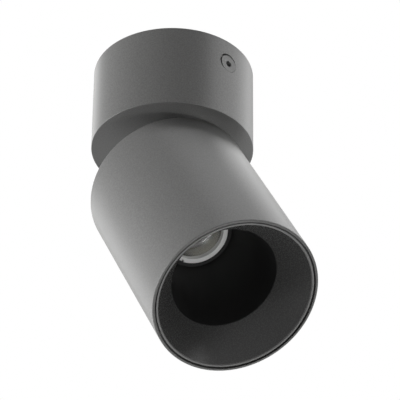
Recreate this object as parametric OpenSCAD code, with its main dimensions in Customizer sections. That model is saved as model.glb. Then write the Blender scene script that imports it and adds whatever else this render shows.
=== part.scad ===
// Surface mounted ceiling spotlight: a round canopy that holds the driver, and a round head
// of the same width on a stem that swivels and tilts. Millimetres and degrees, +Z up.
// The origin is the middle of the ceiling plate's upper face; the head leans towards +X.

/* [Canopy] */
// Outer diameter of the canopy
canopy_d = 80; // [78:1:96]
// Height of the canopy
canopy_h = 45.6; // [44:0.2:60]
// Wall thickness of the canopy
canopy_wall = 4; // [3.8:0.1:5]
// Thickness of the canopy's floor
canopy_floor = 4; // [3.5:0.1:6]
// Bevel on the canopy's outer edges
canopy_bevel = 0.3; // [0.2:0.1:0.8]
// Turn of the canopy and its plate against the direction of lean
canopy_turn = 5.5; // [-20:0.5:20]

/* [Canopy screws] */
// Thread diameter of the two side screws
side_screw_d = 5; // [4:0.5:6]
// Head diameter of the side screws
side_head_d = 9.5; // [9:0.5:12]
// Width across flats of their sockets
side_key = 3; // [2.5:0.5:4]
// Distance of the side screws below the ceiling
side_screw_drop = 13.2; // [11:0.2:15]
// Depth of their heads below the canopy's surface
side_head_sink = 0.3; // [0.3:0.1:0.8]
// Gap round the side screws' heads
side_head_gap = 0.35; // [0.2:0.05:0.5]

/* [Ceiling plate] */
// Thickness of the ceiling plate
plate_t = 2; // [1.5:0.1:3]
// Gap between the plate's edge and the canopy's wall
plate_gap = 0.5; // [0.3:0.1:1]
// Width of the plate's two bent ears
ear_w = 16; // [14:1:20]
// Thickness of the ears
ear_t = 3; // [2.5:0.1:4]
// Length of the ears below the plate's upper face
ear_l = 20; // [18:1:24]
// Distance from the fixing holes' centres to the plate's edge
fixing_edge = 5.5; // [4.5:0.5:8]
// Diameter of the fixing holes
fixing_hole_d = 5.2; // [4:0.1:6]
// Number of fixing holes
fixing_holes = 4; // [2:2:4]
// Diameter of the cable hole in the plate
cable_hole_d = 18; // [14:1:22]

/* [Wiring] */
// Length of the terminal block
terminal_l = 20; // [18:1:24]
// Width of the terminal block
terminal_w = 12; // [10:1:13]
// Height of the terminal block
terminal_h = 12; // [10:0.5:14]
// Number of poles of the terminal block
terminal_poles = 3; // [2:1:3]
// Width of the driver's case
driver_w = 24; // [20:1:26]
// Wall thickness of the driver's case
driver_wall = 1.5; // [1:0.1:2]
// Gap between the driver's lid and the ceiling plate
lid_gap = 7; // [5:0.5:8]
// Width of the bridge that carries the driver
bridge_w = 18; // [16:1:20]
// Thickness of the bridge's sheet
bridge_t = 1.2; // [1:0.1:1.5]
// Length of the bridge's feet
bridge_foot_l = 7; // [6.5:0.5:8]
// Gap between the feet's corners and the canopy's wall
bridge_gap = 0.5; // [0.3:0.1:1]
// Room for the wires between the stem's end and the bridge
wire_room = 6; // [4:0.5:7]

/* [Swivel] */
// Thread diameter of the stem
stem_d = 10; // [9:0.5:11]
// Bore of the stem, for the wires
stem_bore_d = 7; // [5:0.5:7]
// Diameter of the stem below its flange
shank_d = 13; // [12:0.5:14]
// Diameter of the stem's flange
flange_d = 24; // [20:1:28]
// Thickness of the stem's flange
flange_t = 3; // [2:0.5:4]
// Distance of the tilt axis below the canopy
axis_drop = 26.1; // [25:0.1:32]
// Thickness of the stem's tongue
tongue_t = 8; // [6:0.5:9]
// Width of the swivel nut across its flats
nut_key = 14; // [13:0.5:16]
// Diameter of the stop pin
stop_pin_d = 4; // [3:0.5:4]
// Distance of the stop pin from the swivel axis
stop_pin_r = 14; // [13.5:0.1:15]

/* [Head] */
// Outer diameter of the head
head_d = 80; // [78:1:84]
// Length of the head
head_l = 103; // [98:0.2:130]
// Distance of the head's top above the tilt axis
head_rise = 4.2; // [3:0.1:5]
// Wall thickness of the head's tube
head_wall = 2.6; // [2.2:0.1:3]
// Thickness of the head's top
head_top = 3; // [2.8:0.1:4]
// Rounding of the head's top edge
head_round = 1; // [0.5:0.1:2]
// Wall thickness at the mouth, where the bore is widened
mouth_wall = 1.2; // [1.2:0.1:1.8]
// Bevel on the outer edge of the mouth
mouth_bevel = 0.4; // [0.2:0.1:0.8]
// Diameter of the opening in the head's top
neck_d = 42; // [38:1:44]
// Lean of the head at rest, from straight down
lean = 31; // [0:0.5:32]

/* [Tilt joint] */
// Diameter of the tilt screw
tilt_screw_d = 5; // [4:0.5:6]
// Thickness of the tilt bracket's sheet
bracket_t = 2.5; // [2:0.1:3]
// Width of the bracket's cheeks
cheek_w = 14; // [13:0.5:15]
// Length of the bracket's base
bracket_l = 30; // [29:0.5:32]
// Thickness of the friction washers
friction_t = 0.5; // [0.3:0.1:1]

/* [Heat sink] */
// Height of the heat sink
sink_h = 21; // [20:0.5:24]
// Thickness of the heat sink under its pocket
sink_floor = 7; // [6:0.5:8]
// Number of slots between two screws of the heat sink
sink_slots = 5; // [3:1:6]
// Width of the slots between the fins
slot_w = 3; // [2:0.2:3.4]

/* [Light source] */
// Side of the square LED board
led_side = 19; // [16:0.5:20]
// Thickness of the LED board
led_t = 1.2; // [1:0.1:1.6]
// Diameter of the lit disc
emitter_d = 12; // [8:0.5:12.5]
// Diameter of the LED holder
holder_d = 37; // [36.5:0.1:37.6]
// Thickness of the LED holder
holder_t = 4.5; // [4:0.1:5]
// Outer diameter of the optic barrel
barrel_d = 42; // [41.6:0.1:44]
// Wall thickness of the optic barrel
barrel_wall = 1.9; // [1.6:0.1:2]
// Distance from the mouth to the front of the lens ring
lens_depth = 57.5; // [51:0.5:58.5]
// Outer diameter of the lens ring's front
lens_ring_d = 30.7; // [29:0.1:32]
// Clear diameter of the lens ring
lens_clear_d = 26; // [24:0.1:27]
// Thickness of the lens
lens_t = 2; // [1.5:0.1:3]

/* [Baffle and cone] */
// Diameter of the baffle where it meets the barrel's front
baffle_top_d = 34.4; // [34:0.2:36]
// Wall thickness of the baffle
baffle_wall = 1.2; // [1:0.1:1.6]
// Width of the lip round the cone's mouth
lip_w = 1.8; // [1.5:0.05:2.5]
// Diameter of the cone's throat
cone_throat_d = 51.3; // [46:0.1:56]
// Depth of the cone
cone_depth = 17.3; // [12:0.1:20]
// Wall thickness of the cone
cone_wall = 1.6; // [1.2:0.1:2]

/* [Hidden] */
$fn = 96;

// Fits and cuts
over = 1;            // how far a cut runs past the face that it opens
fit = 0.05;          // radial gap of a screw, pin or push fit in its hole
play = 0.1;          // radial gap of the stem in the canopy's floor
hex = 6;             // sides of a hexagon
half_flat = 30;      // angle from a hexagon's corner to the middle of its side

// Colours
powder_grey = "#6c6c6b";
zinc = "#b9bcbe";
steel = "#8f9295";
black_plastic = "#1d1d1e";
rubber = "#2a2a2b";
aluminium = "#c3c5c7";
nylon = "#e9e6dc";

// Canopy
canopy_r = canopy_d / 2;
canopy_bore_r = canopy_r - canopy_wall;
floor_z = -canopy_h + canopy_floor;

// Side screws of the canopy
side_land = 0.3;
side_recess = side_head_sink + side_land;
side_tip = 1.8;
socket_share = 0.62;

// Ceiling plate
plate_r = canopy_bore_r - plate_gap;
ear_inset = 0.3;
ear_x = sqrt(plate_r * plate_r - ear_w * ear_w / 4) - ear_inset;
side_screw_l = canopy_r - side_head_sink - ear_x + ear_t + side_tip;
fixing_circle_d = 2 * (plate_r - fixing_edge);
fixing_angle = 45;
earth_screw_d = 4;
earth_boss_d = 8;
earth_boss_t = 1.5;
earth_edge = 11.5;
earth_y = earth_edge - plate_r;
grommet_lip = 1.5;
grommet_lip_t = 1.2;
grommet_wall = 1.6;

// Terminal block
terminal_gap = 2;
terminal_y = driver_w / 2 + terminal_gap;
terminal_pitch = terminal_l / (terminal_poles + 1);
terminal_wire_d = 3;
terminal_screw_d = 2.6;
terminal_screw_l = 4;
terminal_screw_sink = 1;
terminal_fixing_d = 3;
terminal_fixing_head_d = 4.8;
terminal_fixing_head_h = 1.6;
terminal_slot_w = 0.6;
terminal_slot_depth = 0.7;

// Small pan head screws of the wiring and of the LED
small_d = 3;
small_head_d = 5.5;
small_head_h = 2;
small_key = 2;

// Swivel stack on the canopy's floor, from below
outer_washer_t = 1;
inner_washer_t = 1;
inner_washer_d = 20;
spring_h = 1.2;
spring_t = 0.7;
spring_d = 18;
stop_washer_t = 1.5;
stop_washer_d = 20;
stop_tab_w = 3;
stop_tab_end = 2.5;
nut_h = 4;
stem_end = 1.5;
stem_flat_depth = 0.5;
stem_flats = stem_d - 2 * stem_flat_depth;
stop_washer_z = floor_z + inner_washer_t + spring_h;
nut_z = stop_washer_z + stop_washer_t;
stem_top_z = nut_z + nut_h + stem_end;
stop_pin_depth = 2.5;
stop_pin_top = 1;

// Driver on its bridge over the swivel stack
bridge_reach = sqrt(canopy_bore_r * canopy_bore_r - bridge_w * bridge_w / 4) - bridge_gap;
bridge_span = 2 * (bridge_reach - bridge_foot_l);
bridge_z = stem_top_z + wire_room + bridge_t;
bridge_screw_x = bridge_reach - bridge_foot_l / 2;
bridge_screw_l = 3.6;
driver_h = -plate_t - lid_gap - bridge_z;
driver_lug_l = 6;
driver_lug_t = 2;
driver_lug_w = 12;
driver_l = bridge_span - 2 * driver_lug_l;
driver_lid_t = 1.5;
driver_lid_step = 1;
driver_screw_x = driver_l / 2 + driver_lug_l / 2;
driver_screw_l = 5;
driver_rail_h = 2.5;
driver_rail_w = 1.5;
driver_board_t = 1.6;
driver_board_gap = 0.3;
driver_board_z = bridge_z + driver_wall + driver_rail_h;
driver_parts_z = driver_board_z + driver_board_t;
driver_parts_room = bridge_z + driver_h - driver_lid_t - driver_lid_step - driver_parts_z;
driver_wire_d = 4;
coil_side = 12;
coil_share = 0.22;
coil_h_share = 0.7;
capacitor_d = 8;
capacitor_share = 0.3;
capacitor_h_share = 0.6;

// Stem below the canopy
flange_z = -canopy_h - outer_washer_t - flange_t;
axis_z = -canopy_h - axis_drop;
tongue_h = 9.7;
exit_h = 14;
exit_d = 6;

// Head, measured from the tilt axis, with the mouth downwards
head_r = head_d / 2;
head_bore_r = head_r - head_wall;
mouth_bore_r = head_r - mouth_wall;
top_z = head_rise;
mouth_z = top_z - head_l;
sink_top_z = top_z - head_top;
sink_z = sink_top_z - sink_h;
pocket_z = sink_z + sink_floor;
seal_t = 1.5;
seal_z = mouth_z + cone_depth;
shoulder_z = seal_z + seal_t;
lens_front_z = mouth_z + lens_depth;

// Heat sink
sink_gap = 0.3;
sink_screws = 3;
sink_angle = 60;
sink_screw_d = 4;
sink_screw_head_d = 8;
sink_screw_l = 10;
sink_screw_sink = 0.2;
sink_screw_r = (neck_d / 2 + head_bore_r) / 2;
sink_screw_key = 2.5;
slot_root = 7;
slot_inner_r = barrel_d / 2 + slot_root;
slot_sector_share = 0.66;

// Tilt bracket
cheek_y = tongue_t / 2 + friction_t;
cheek_round = cheek_w / 2;
bracket_edge = 1;
bracket_w = 2 * (cheek_y + bracket_t + bracket_edge);
bracket_screw_d = 4;
bracket_screw_head_d = 7;
bracket_screw_head_h = 2.4;
bracket_screw_key = 2.5;
bracket_screw_grip = 4.5;
bracket_screw_l = bracket_t + bracket_screw_grip;
bracket_screw_x = (cheek_w / 2 + bracket_l / 2) / 2;
tilt_head_d = 9.5;
tilt_head_h = 2.75;
tilt_key = 3;
tilt_nut_key = 8;
tilt_nut_h = 4;
tilt_screw_end = 1;
tilt_grip = cheek_y + bracket_t;

// Wire way through the heat sink
wire_y = -15;
wire_hole_d = 8;
wire_bore_d = 5;
wire_lip = 1;
wire_lip_t = 1;

// Light source, downwards from the heat sink
pad_t = 0.5;
pad_edge = 0.3;
pad_side = led_side + 2 * pad_edge;
holder_play = 0.2;
emitter_t = 0.6;
led_z = sink_z - pad_t - led_t;
holder_z = sink_z - holder_t;
emitter_gap = 0.5;
holder_hole_d = emitter_d + 2 * emitter_gap;
holder_flare = 1;
holder_screw_x = 14.5;
holder_screw_grip = 3.5;
holder_screw_l = holder_t + holder_screw_grip;
holder_notch_d = 6;

// Optic barrel and what it holds
barrel_r = barrel_d / 2;
barrel_bore_r = barrel_r - barrel_wall;
barrel_lip_t = 1.5;
barrel_lip_gap = 0.15;
barrel_flange_t = 2.5;
barrel_flange_w = 6.5;
barrel_screws = 3;
barrel_angle = 0;
barrel_screw_r = barrel_r + barrel_flange_w / 2;
barrel_screw_grip = 4;
barrel_screw_l = barrel_flange_t + barrel_screw_grip;
ring_flange_t = 1.2;
ring_z = lens_front_z + barrel_lip_t;
lens_z = ring_z + ring_flange_t;
lens_gap = 0.3;
ring_notches = 2;
ring_notch_angle = 180;
ring_notch_w = 3;
ring_notch_depth = 1.2;
reflector_z = lens_z + lens_t;
reflector_h = holder_z - reflector_z;
reflector_wall = 1;
reflector_flange_t = 1;
reflector_inset = 0.2;
reflector_exit_r = lens_clear_d / 2 - reflector_inset;
reflector_entry_r = holder_hole_d / 2 + holder_flare / 2;

// Baffle
throat_r = cone_throat_d / 2;
baffle_foot_r = throat_r + baffle_wall;

// Cone at the mouth
lip_inset = 0.5;
lip_drop = 0.6;
lip_flat = 0.3;
lip_groove = 0.7;
lip_groove_depth = 1.3;
skirt_wall = 1.2;
skirt_r = mouth_bore_r - fit;
cone_mouth_r = skirt_r - lip_w;

// Places the children at equal angles round the Z axis
module around(count, first = 0) {
    for (i = [0 : count - 1]) rotate([0, 0, first + i * 360 / count]) children();
}

// Carries the children from the canopy's own axes to the spotlight's
module in_canopy() {
    rotate([0, 0, canopy_turn]) children();
}

// Carries the children from the head's own axes, with the tilt axis at zero, to its lean at rest
module in_head() {
    translate([0, 0, axis_z]) rotate([0, -lean, 0]) children();
}

// Upright rod from one height to another
module rod(d, from, to) {
    translate([0, 0, from]) cylinder(d = d, h = to - from);
}

// Upright ring from one height to another, its bore run past both faces
module ring(d, bore, from, to) {
    difference() {
        rod(d, from, to);
        rod(bore, from - over, to + over);
    }
}

// Upright hexagon of a given width across flats
module hexagon(key, from, to) {
    translate([0, 0, from]) cylinder(d = key / cos(half_flat), h = to - from, $fn = hex);
}

// Block centred on X and Y, from one height to another
module block(x, y, from, to) {
    translate([-x / 2, -y / 2, from]) cube([x, y, to - from]);
}

// Countersunk socket screw with its face at z = 0 and its point downwards
module sunk_screw(d, head_d, l, key, land) {
    cone_h = (head_d - d) / 2;
    difference() {
        union() {
            rod(d, -l, -land);
            rod(head_d, -land, 0);
            translate([0, 0, -land - cone_h]) cylinder(d1 = d, d2 = head_d, h = cone_h);
        }
        hexagon(key, -key * socket_share, over);
    }
}

// Hole for a countersunk screw whose face is at z = 0, with a recess above it
module sunk_hole(d, head_d, l, land, recess, gap) {
    cone_h = (head_d - d) / 2;
    rod(d + 2 * fit, -l - over, over);
    rod(head_d + 2 * gap, -land, recess + over);
    translate([0, 0, -land - cone_h]) cylinder(d1 = d, d2 = head_d, h = cone_h);
}

// Pan head socket screw with its head above z = 0 and its shank below
module pan_screw(d, head_d, head_h, l, key) {
    difference() {
        union() {
            rod(d, -l, 0);
            rod(head_d, 0, head_h);
        }
        hexagon(key, head_h - key * socket_share, head_h + over);
    }
}

// Plate with two bent ears, fixing holes and a cable hole
module ceiling_plate() {
    color(zinc) in_canopy() difference() {
        union() {
            rod(2 * plate_r, -plate_t, 0);
            around(2) translate([ear_x - ear_t, -ear_w / 2, -ear_l]) cube([ear_t, ear_w, ear_l]);
            translate([0, earth_y, 0]) rod(earth_boss_d, -plate_t - earth_boss_t, 0);
        }
        rod(cable_hole_d, -plate_t - over, over);
        around(fixing_holes, fixing_angle) translate([fixing_circle_d / 2, 0, 0])
            rod(fixing_hole_d, -plate_t - over, over);
        translate([0, earth_y, 0]) rod(earth_screw_d + 2 * fit, -plate_t - earth_boss_t - over, over);
        translate([0, terminal_y + terminal_w / 2, 0])
            rod(terminal_fixing_d + 2 * fit, -plate_t - over, over);
        around(2) translate([ear_x, 0, -side_screw_drop]) rotate([0, 90, 0])
            rod(side_screw_d + 2 * fit, -ear_t - over, over);
    }
}

// Rubber sleeve that lines the plate's cable hole
module plate_grommet() {
    color(rubber) in_canopy() difference() {
        union() {
            rod(cable_hole_d, -plate_t, 0);
            rod(cable_hole_d + 2 * grommet_lip, -plate_t - grommet_lip_t, -plate_t);
        }
        rod(cable_hole_d - 2 * grommet_wall, -plate_t - grommet_lip_t - over, over);
    }
}

// Cup that hides the plate and the driver
module canopy_shell() {
    color(powder_grey) in_canopy() difference() {
        rotate_extrude() polygon([
            [0, -canopy_h], [canopy_r - canopy_bevel, -canopy_h], [canopy_r, -canopy_h + canopy_bevel],
            [canopy_r, -canopy_bevel], [canopy_r - canopy_bevel, 0], [canopy_bore_r, 0],
            [canopy_bore_r, floor_z], [0, floor_z]]);
        rod(stem_d + 2 * play, -canopy_h - over, floor_z + over);
        around(2) translate([canopy_r - side_head_sink, 0, -side_screw_drop]) rotate([0, 90, 0])
            sunk_hole(side_screw_d, side_head_d, canopy_wall, side_land, side_recess, side_head_gap);
        around(2) translate([bridge_screw_x, 0, 0])
            rod(small_d + 2 * fit, floor_z + bridge_t - bridge_screw_l, floor_z + over);
        rotate([0, 0, 180 - canopy_turn]) translate([stop_pin_r, 0, 0])
            rod(stop_pin_d + 2 * fit, floor_z - stop_pin_depth, floor_z + over);
    }
}

// Two countersunk screws that hold the canopy on the ears
module canopy_screws() {
    color(powder_grey) in_canopy() around(2)
        translate([canopy_r - side_head_sink, 0, -side_screw_drop]) rotate([0, 90, 0])
            sunk_screw(side_screw_d, side_head_d, side_screw_l, side_key, side_land);
}

// Place of the terminal block under the plate
module at_terminal() {
    in_canopy() translate([0, terminal_y + terminal_w / 2, -plate_t]) children();
}

// Place of each clamp screw of the terminal block
module at_clamps() {
    for (pole = [1 : terminal_poles]) for (side = [-1, 1])
        translate([terminal_pitch * pole - terminal_l / 2, side * terminal_w / 4, 0]) children();
}

// Insulated block that joins the supply wires to the driver's
module terminal_block() {
    color(nylon) at_terminal() difference() {
        block(terminal_l, terminal_w, -terminal_h, 0);
        at_clamps() rod(terminal_screw_d + 2 * fit, -terminal_h - over, -terminal_h + terminal_screw_sink
            + terminal_screw_l);
        for (pole = [1 : terminal_poles])
            translate([terminal_pitch * pole - terminal_l / 2, 0, -terminal_h / 3]) rotate([90, 0, 0])
                rod(terminal_wire_d, -terminal_w / 2 - over, terminal_w / 2 + over);
        rod(terminal_fixing_d + 2 * fit, -terminal_h - over, over);
    }
}

// Slotted clamp screws of the terminal block
module terminal_screws() {
    color(zinc) at_terminal() at_clamps() difference() {
        rod(terminal_screw_d, -terminal_h + terminal_screw_sink, -terminal_h + terminal_screw_sink
            + terminal_screw_l);
        block(terminal_screw_d + over, terminal_slot_w, -terminal_h + terminal_screw_sink - over,
            -terminal_h + terminal_screw_sink + terminal_slot_depth);
    }
}

// Screw that holds the terminal block under the plate
module terminal_fixing_screw() {
    color(zinc) at_terminal() translate([0, 0, -terminal_h]) rotate([180, 0, 0])
        pan_screw(terminal_fixing_d, terminal_fixing_head_d, terminal_fixing_head_h, terminal_h + plate_t,
            small_key);
}

// Earthing screw in the plate's boss
module earth_screw() {
    color("#b08d3c") in_canopy() translate([0, earth_y, -plate_t - earth_boss_t]) rotate([180, 0, 0])
        pan_screw(earth_screw_d, bracket_screw_head_d, bracket_screw_head_h, plate_t + earth_boss_t,
            bracket_screw_key);
}

// Bent sheet bridge that stands on the canopy's floor, over the swivel nut
module driver_bridge() {
    color(zinc) in_canopy() difference() {
        union() {
            block(bridge_span, bridge_w, bridge_z - bridge_t, bridge_z);
            around(2) translate([bridge_span / 2 - bridge_t, -bridge_w / 2, floor_z]) {
                cube([bridge_t, bridge_w, bridge_z - floor_z]);
                cube([bridge_t + bridge_foot_l, bridge_w, bridge_t]);
            }
        }
        around(2) translate([bridge_screw_x, 0, 0])
            rod(small_d + 2 * fit, floor_z - over, floor_z + bridge_t + over);
        around(2) translate([driver_screw_x, 0, 0]) rod(small_d + 2 * fit, bridge_z - bridge_t - over,
            bridge_z + over);
    }
}

// Two screws that hold the bridge on the canopy's floor
module bridge_screws() {
    color(zinc) in_canopy() around(2) translate([bridge_screw_x, 0, floor_z + bridge_t])
        pan_screw(small_d, small_head_d, small_head_h, bridge_screw_l, small_key);
}

// Open case of the driver, with two lugs and two rails for its board
module driver_case() {
    rim_z = bridge_z + driver_h - driver_lid_t;
    color(nylon) in_canopy() difference() {
        union() {
            block(driver_l, driver_w, bridge_z, rim_z);
            block(bridge_span, driver_lug_w, bridge_z, bridge_z + driver_lug_t);
        }
        difference() {
            block(driver_l - 2 * driver_wall, driver_w - 2 * driver_wall, bridge_z + driver_wall,
                rim_z + over);
            for (side = [-1, 1]) translate([0, side * (driver_w / 2 - driver_wall - driver_rail_w / 2), 0])
                block(driver_l, driver_rail_w, bridge_z, bridge_z + driver_wall + driver_rail_h);
        }
        around(2) translate([driver_screw_x, 0, 0]) rod(small_d + 2 * fit, bridge_z - over,
            bridge_z + driver_lug_t + over);
        translate([0, 0, bridge_z + driver_h / 2]) rotate([0, 90, 0])
            rod(driver_wire_d, -driver_l / 2 - over, driver_l / 2 + over);
    }
}

// Lid of the driver, stepped into the case
module driver_lid() {
    lid_z = bridge_z + driver_h - driver_lid_t;
    inset = 2 * driver_wall + 2 * driver_board_gap;
    color(nylon) in_canopy() union() {
        block(driver_l, driver_w, lid_z, lid_z + driver_lid_t);
        block(driver_l - inset, driver_w - inset, lid_z - driver_lid_step, lid_z + driver_lid_t / 2);
    }
}

// Board of the driver, with its coil and two capacitors
module driver_board() {
    inset = 2 * driver_wall + 2 * driver_board_gap;
    color("#2f6b3f") in_canopy() union() {
        block(driver_l - inset, driver_w - inset, driver_board_z, driver_parts_z);
        translate([-driver_l * coil_share, 0, 0])
            block(coil_side, coil_side, driver_board_z, driver_parts_z + driver_parts_room * coil_h_share);
        for (side = [-1, 1])
            translate([driver_l * capacitor_share, side * (capacitor_d / 2 + driver_board_gap), 0])
                rod(capacitor_d, driver_board_z, driver_parts_z + driver_parts_room * capacitor_h_share);
    }
}

// Two screws that hold the driver on the bridge
module driver_screws() {
    color(zinc) in_canopy() around(2) translate([driver_screw_x, 0, bridge_z + driver_lug_t])
        pan_screw(small_d, small_head_d, small_head_h, driver_screw_l, small_key);
}

// Pin in the canopy's floor that ends the swivel
module stop_pin() {
    color(steel) rotate([0, 0, 180]) translate([stop_pin_r, 0, 0])
        rod(stop_pin_d, floor_z - stop_pin_depth, nut_z + stop_pin_top);
}

// Rod with two flats, as the stem is cut where the stop washer sits
module flatted_rod(d, flats, from, to) {
    intersection() {
        rod(d, from, to);
        block(d + over, flats, from, to);
    }
}

// Hollow stem with a flange under the canopy and a tongue at the tilt axis
module swivel_stem() {
    color(powder_grey) difference() {
        union() {
            rod(stem_d, flange_z, stop_washer_z);
            flatted_rod(stem_d, stem_flats, stop_washer_z, stem_top_z);
            rod(flange_d, flange_z, flange_z + flange_t);
            rod(shank_d, axis_z + tongue_h, flange_z + flange_t);
            intersection() {
                rod(shank_d, axis_z, axis_z + tongue_h + flange_t);
                block(shank_d, tongue_t, axis_z, axis_z + tongue_h + flange_t);
            }
            translate([0, 0, axis_z]) rotate([90, 0, 0]) rod(shank_d, -tongue_t / 2, tongue_t / 2);
        }
        rod(stem_bore_d, axis_z + exit_h - exit_d / 2, stem_top_z + over);
        translate([0, 0, axis_z + exit_h]) rotate([0, -90, 0]) rod(exit_d, 0, shank_d);
        translate([0, 0, axis_z]) rotate([90, 0, 0]) rod(tilt_screw_d + 2 * fit, -shank_d, shank_d);
    }
}

// Slippery washer between the flange and the canopy
module outer_washer() {
    color(nylon) ring(flange_d, stem_d + 2 * fit, -canopy_h - outer_washer_t, -canopy_h);
}

// Slippery washer on the canopy's floor
module inner_washer() {
    color(nylon) ring(inner_washer_d, stem_d + 2 * fit, floor_z, floor_z + inner_washer_t);
}

// Cupped spring washer that keeps the swivel tight
module spring_washer() {
    bore_r = stem_d / 2 + fit;
    color(steel) translate([0, 0, floor_z + inner_washer_t]) rotate_extrude() polygon([
        [spring_d / 2, 0], [spring_d / 2, spring_t], [bore_r, spring_h], [bore_r, spring_h - spring_t]]);
}

// Washer keyed to the stem's flats, with the tab that meets the stop pin
module stop_washer() {
    color(zinc) difference() {
        union() {
            rod(stop_washer_d, stop_washer_z, nut_z);
            translate([0, -stop_tab_w / 2, stop_washer_z])
                cube([stop_pin_r + stop_tab_end, stop_tab_w, stop_washer_t]);
        }
        flatted_rod(stem_d + 2 * fit, stem_flats + 2 * fit, stop_washer_z - over, nut_z + over);
    }
}

// Lock nut on the stem
module swivel_nut() {
    color(zinc) difference() {
        hexagon(nut_key, nut_z, nut_z + nut_h);
        rod(stem_d + 2 * fit, nut_z - over, nut_z + nut_h + over);
    }
}

// Half section of the head's tube, with its closed top and rounded edge
module tube_section() {
    difference() {
        translate([0, mouth_z]) square([head_r, head_l]);
        translate([0, shoulder_z]) square([head_bore_r, sink_top_z - shoulder_z]);
        translate([0, mouth_z - over]) square([mouth_bore_r, shoulder_z - mouth_z + over]);
        translate([0, sink_top_z - over]) square([neck_d / 2, head_top + 2 * over]);
        translate([head_r - head_round, top_z - head_round]) difference() {
            square([head_round + over, head_round + over]);
            circle(r = head_round);
        }
        polygon([[head_r - mouth_bevel, mouth_z], [head_r + over, mouth_z + mouth_bevel + over],
            [head_r + over, mouth_z - over], [head_r - mouth_bevel - over, mouth_z - over]]);
    }
}

// Tube of the head, open at the mouth
module head_tube() {
    color(powder_grey) in_head() difference() {
        rotate_extrude() tube_section();
        around(sink_screws, sink_angle) translate([sink_screw_r, 0, top_z - sink_screw_sink])
            sunk_hole(sink_screw_d, sink_screw_head_d, head_top, sink_screw_sink, sink_screw_sink, fit);
    }
}

// Finned block that cools the LED, with a pocket for the tilt bracket
module heat_sink() {
    sector = 360 / sink_screws;
    step = sector * slot_sector_share / sink_slots;
    color(aluminium) in_head() difference() {
        rod(2 * (head_bore_r - sink_gap), sink_z, sink_top_z);
        rod(neck_d, pocket_z, sink_top_z + over);
        around(sink_screws, sink_angle + sector / 2) for (i = [0 : sink_slots - 1])
            rotate([0, 0, (i - (sink_slots - 1) / 2) * step])
                translate([slot_inner_r, -slot_w / 2, sink_z - over])
                    cube([head_r, slot_w, sink_h + 2 * over]);
        around(sink_screws, sink_angle) translate([sink_screw_r, 0, 0])
            rod(sink_screw_d + 2 * fit, top_z - sink_screw_sink - sink_screw_l, sink_top_z + over);
        around(2) translate([bracket_screw_x, 0, 0])
            rod(bracket_screw_d + 2 * fit, pocket_z + bracket_t - bracket_screw_l, pocket_z + over);
        translate([0, wire_y, 0]) rod(wire_hole_d, sink_z - over, pocket_z + over);
        around(2) translate([holder_screw_x, 0, 0])
            rod(small_d + 2 * fit, sink_z - over, holder_z + holder_screw_l);
        around(barrel_screws, barrel_angle) translate([barrel_screw_r, 0, 0])
            rod(small_d + 2 * fit, sink_z - over, sink_z - barrel_flange_t + barrel_screw_l);
    }
}

// Three countersunk screws in the head's top
module heat_sink_screws() {
    color(powder_grey) in_head() around(sink_screws, sink_angle)
        translate([sink_screw_r, 0, top_z - sink_screw_sink])
            sunk_screw(sink_screw_d, sink_screw_head_d, sink_screw_l, sink_screw_key, sink_screw_sink);
}

// Bent bracket whose two cheeks hold the stem's tongue
module tilt_bracket() {
    color(steel) in_head() difference() {
        union() {
            block(bracket_l, bracket_w, pocket_z, pocket_z + bracket_t);
            for (side = [-1, 1]) translate([0, side * (cheek_y + bracket_t / 2), 0]) {
                block(cheek_w, bracket_t, pocket_z, 0);
                rotate([90, 0, 0]) rod(2 * cheek_round, -bracket_t / 2, bracket_t / 2);
            }
        }
        rotate([90, 0, 0]) rod(tilt_screw_d + 2 * fit, -bracket_l, bracket_l);
        around(2) translate([bracket_screw_x, 0, 0])
            rod(bracket_screw_d + 2 * fit, pocket_z - over, pocket_z + bracket_t + over);
    }
}

// Two screws that hold the bracket in the pocket
module bracket_screws() {
    color(zinc) in_head() around(2) translate([bracket_screw_x, 0, pocket_z + bracket_t])
        pan_screw(bracket_screw_d, bracket_screw_head_d, bracket_screw_head_h, bracket_screw_l,
            bracket_screw_key);
}

// Two washers that brake the tilt between the tongue and the cheeks
module friction_washers() {
    color(nylon) in_head() for (side = [-1, 1]) translate([0, side * (cheek_y - friction_t / 2), 0])
        rotate([90, 0, 0]) ring(shank_d, tilt_screw_d + 2 * fit, -friction_t / 2, friction_t / 2);
}

// Screw that is the tilt axis
module tilt_screw() {
    color(zinc) in_head() translate([0, -tilt_grip, 0]) rotate([90, 0, 0])
        pan_screw(tilt_screw_d, tilt_head_d, tilt_head_h, 2 * tilt_grip + tilt_nut_h + tilt_screw_end,
            tilt_key);
}

// Nut of the tilt screw
module tilt_nut() {
    color(zinc) in_head() translate([0, tilt_grip, 0]) rotate([-90, 0, 0]) difference() {
        hexagon(tilt_nut_key, 0, tilt_nut_h);
        rod(tilt_screw_d + 2 * fit, -over, tilt_nut_h + over);
    }
}

// Rubber sleeve where the wires pass through the heat sink
module wire_grommet() {
    color(rubber) in_head() translate([0, wire_y, 0]) difference() {
        union() {
            rod(wire_hole_d, sink_z, pocket_z);
            rod(wire_hole_d + 2 * wire_lip, pocket_z, pocket_z + wire_lip_t);
        }
        rod(wire_bore_d, sink_z - over, pocket_z + wire_lip_t + over);
    }
}

// Soft pad that carries the heat into the sink
module thermal_pad() {
    color("#9fb4c4") in_head() block(pad_side, pad_side, sink_z - pad_t, sink_z);
}

// Square board of the LED
module led_board() {
    color("#e8e8e2") in_head() block(led_side, led_side, led_z, led_z + led_t);
}

// Lit disc of the LED
module led_emitter() {
    color("#f2d06b") in_head() rod(emitter_d, led_z - emitter_t, led_z);
}

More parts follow.
